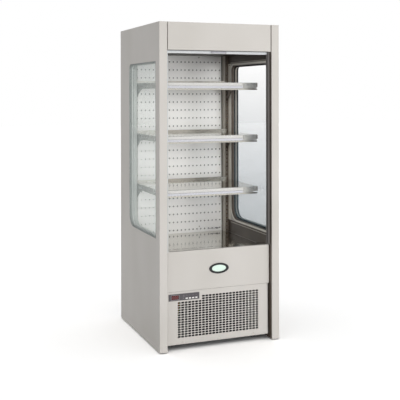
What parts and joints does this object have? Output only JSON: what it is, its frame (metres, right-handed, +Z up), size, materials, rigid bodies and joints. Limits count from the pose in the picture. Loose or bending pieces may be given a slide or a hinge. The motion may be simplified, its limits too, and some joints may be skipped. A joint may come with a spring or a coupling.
{
  "type": "open multideck display fridge",
  "caption": "Open-fronted upright chilled display cabinet with glazed side walls, hook-on shelves, a pull-down night blind and a louvred machine compartment below.",
  "frame": {"origin": "centre of the footprint at floor level, under the feet", "axes": "+X to the right seen from the front, +Y to the back, +Z up; the open front faces -Y"},
  "size_m": [0.71, 0.745, 1.77],
  "materials": {
    "painted_steel": "warm light grey powder coat, satin",
    "white_liner": "white powder coat, satin",
    "dark_steel": "dark brown powder coat, satin",
    "stainless": "brushed stainless steel",
    "galvanised": "plain galvanised sheet",
    "aluminium_trim": "satin anodised",
    "finned_coil": "plain fins",
    "glass": "clear, faint green-grey",
    "gasket": "matt black",
    "clear_plastic": "clear to milky",
    "black_plastic": "gloss black",
    "dark_plastic": "fine matt",
    "white_keys": "white",
    "blind_fabric": "grey woven screen",
    "compressor_black": "black enamel",
    "copper": "drawn copper pipe"
  },
  "bodies": {
    "cabinet": {"side_wall_left": "painted_steel", "side_wall_right": "painted_steel", "canopy_fascia": "painted_steel", "upper_fascia": "painted_steel", "louvred_panel": "painted_steel", "back_wall": "painted_steel", "roof_panel": "painted_steel", "back_panel": "white_liner", "evaporator_well": "white_liner", "ladder_left": "dark_steel", "ladder_right": "dark_steel", "ceiling_panel": "dark_steel", "return_grille": "stainless", "base_pan": "galvanised", "rear_cover": "galvanised", "evaporator_fan_plate": "galvanised", "condenser_shroud": "galvanised", "blind_guide_left": "aluminium_trim", "blind_guide_right": "aluminium_trim", "evaporator_coil": "finned_coil", "condenser_coil": "finned_coil", "outer_pane_left": "glass", "outer_pane_right": "glass", "inner_pane_left": "glass", "inner_pane_right": "glass", "glazing_seal_left": "gasket", "glazing_seal_right": "gasket", "badge": "black_plastic", "controller": "dark_plastic", "air_outlet": "dark_plastic", "foot_front_left": "dark_plastic", "foot_front_right": "dark_plastic", "foot_rear_left": "dark_plastic", "foot_rear_right": "dark_plastic", "drain_pan": "dark_plastic", "blind_cloth": "blind_fabric", "compressor": "compressor_black", "refrigerant_pipes": "copper"},
    "blind_bar": {"blind_bar": "aluminium_trim"},
    "blind_roller": {"blind_roller": "blind_fabric"},
    "deck_tray": {"deck_tray": "stainless"},
    "condenser_fan": {"condenser_fan": "dark_plastic"},
    "evaporator_fan_left": {"evaporator_fan_left": "dark_plastic"},
    "evaporator_fan_right": {"evaporator_fan_right": "dark_plastic"},
    "shelf_low": {"shelf_1_tray": "stainless", "shelf_1_bracket_left": "stainless", "shelf_1_bracket_right": "stainless", "shelf_1_price_rail": "clear_plastic"},
    "shelf_middle": {"shelf_2_tray": "stainless", "shelf_2_bracket_left": "stainless", "shelf_2_bracket_right": "stainless", "shelf_2_price_rail": "clear_plastic"},
    "shelf_high": {"shelf_3_tray": "stainless", "shelf_3_bracket_left": "stainless", "shelf_3_bracket_right": "stainless", "shelf_3_price_rail": "clear_plastic"},
    "key_1": {"controller_key_1": "white_keys"},
    "key_2": {"controller_key_2": "white_keys"},
    "key_3": {"controller_key_3": "white_keys"},
    "key_4": {"controller_key_4": "white_keys"}
  },
  "joints": [
    {"name": "blind_slide", "type": "slide", "parent": "cabinet", "child": "blind_bar", "axis": [0, 0, -1], "range_m": [0, 1.068], "stiffness_N_per_m": 2, "springref_m": -0.4, "deforming": ["blind_cloth"]},
    {"name": "blind_roll", "type": "hinge", "parent": "cabinet", "child": "blind_roller", "pos_m": [0, -0.3099, 1.69], "axis": [1, 0, 0], "range_deg": [0, 2600]},
    {"name": "deck_lift", "type": "slide", "parent": "cabinet", "child": "deck_tray", "axis": [0, 0, 1], "range_m": [0, 0.2]},
    {"name": "condenser_fan_spin", "type": "hinge", "parent": "cabinet", "child": "condenser_fan", "pos_m": [0.012, -0.235, 0.1713], "axis": [0, 1, 0], "continuous": true},
    {"name": "evaporator_fan_left_spin", "type": "hinge", "parent": "cabinet", "child": "evaporator_fan_left", "pos_m": [-0.15, -0.1568, 0.435], "axis": [0, 1, 0], "continuous": true},
    {"name": "evaporator_fan_right_spin", "type": "hinge", "parent": "cabinet", "child": "evaporator_fan_right", "pos_m": [0.15, -0.1568, 0.435], "axis": [0, 1, 0], "continuous": true},
    {"name": "shelf_low_unhook", "type": "slide", "parent": "cabinet", "child": "shelf_low", "axis": [0, 0, 1], "range_m": [0, 0.008]},
    {"name": "shelf_middle_unhook", "type": "slide", "parent": "cabinet", "child": "shelf_middle", "axis": [0, 0, 1], "range_m": [0, 0.008]},
    {"name": "shelf_high_unhook", "type": "slide", "parent": "cabinet", "child": "shelf_high", "axis": [0, 0, 1], "range_m": [0, 0.008]},
    {"name": "key_1_press", "type": "slide", "parent": "cabinet", "child": "key_1", "axis": [0, 1, 0], "range_m": [0, 0.0008], "stiffness_N_per_m": 2, "springref_m": -0.0004},
    {"name": "key_2_press", "type": "slide", "parent": "cabinet", "child": "key_2", "axis": [0, 1, 0], "range_m": [0, 0.0008], "stiffness_N_per_m": 2, "springref_m": -0.0004},
    {"name": "key_3_press", "type": "slide", "parent": "cabinet", "child": "key_3", "axis": [0, 1, 0], "range_m": [0, 0.0008], "stiffness_N_per_m": 2, "springref_m": -0.0004},
    {"name": "key_4_press", "type": "slide", "parent": "cabinet", "child": "key_4", "axis": [0, 1, 0], "range_m": [0, 0.0008], "stiffness_N_per_m": 2, "springref_m": -0.0004}
  ],
  "couplings": [
    {"joint": "blind_roll", "follows": "blind_slide", "rad_per_m": 41.667}
  ]
}
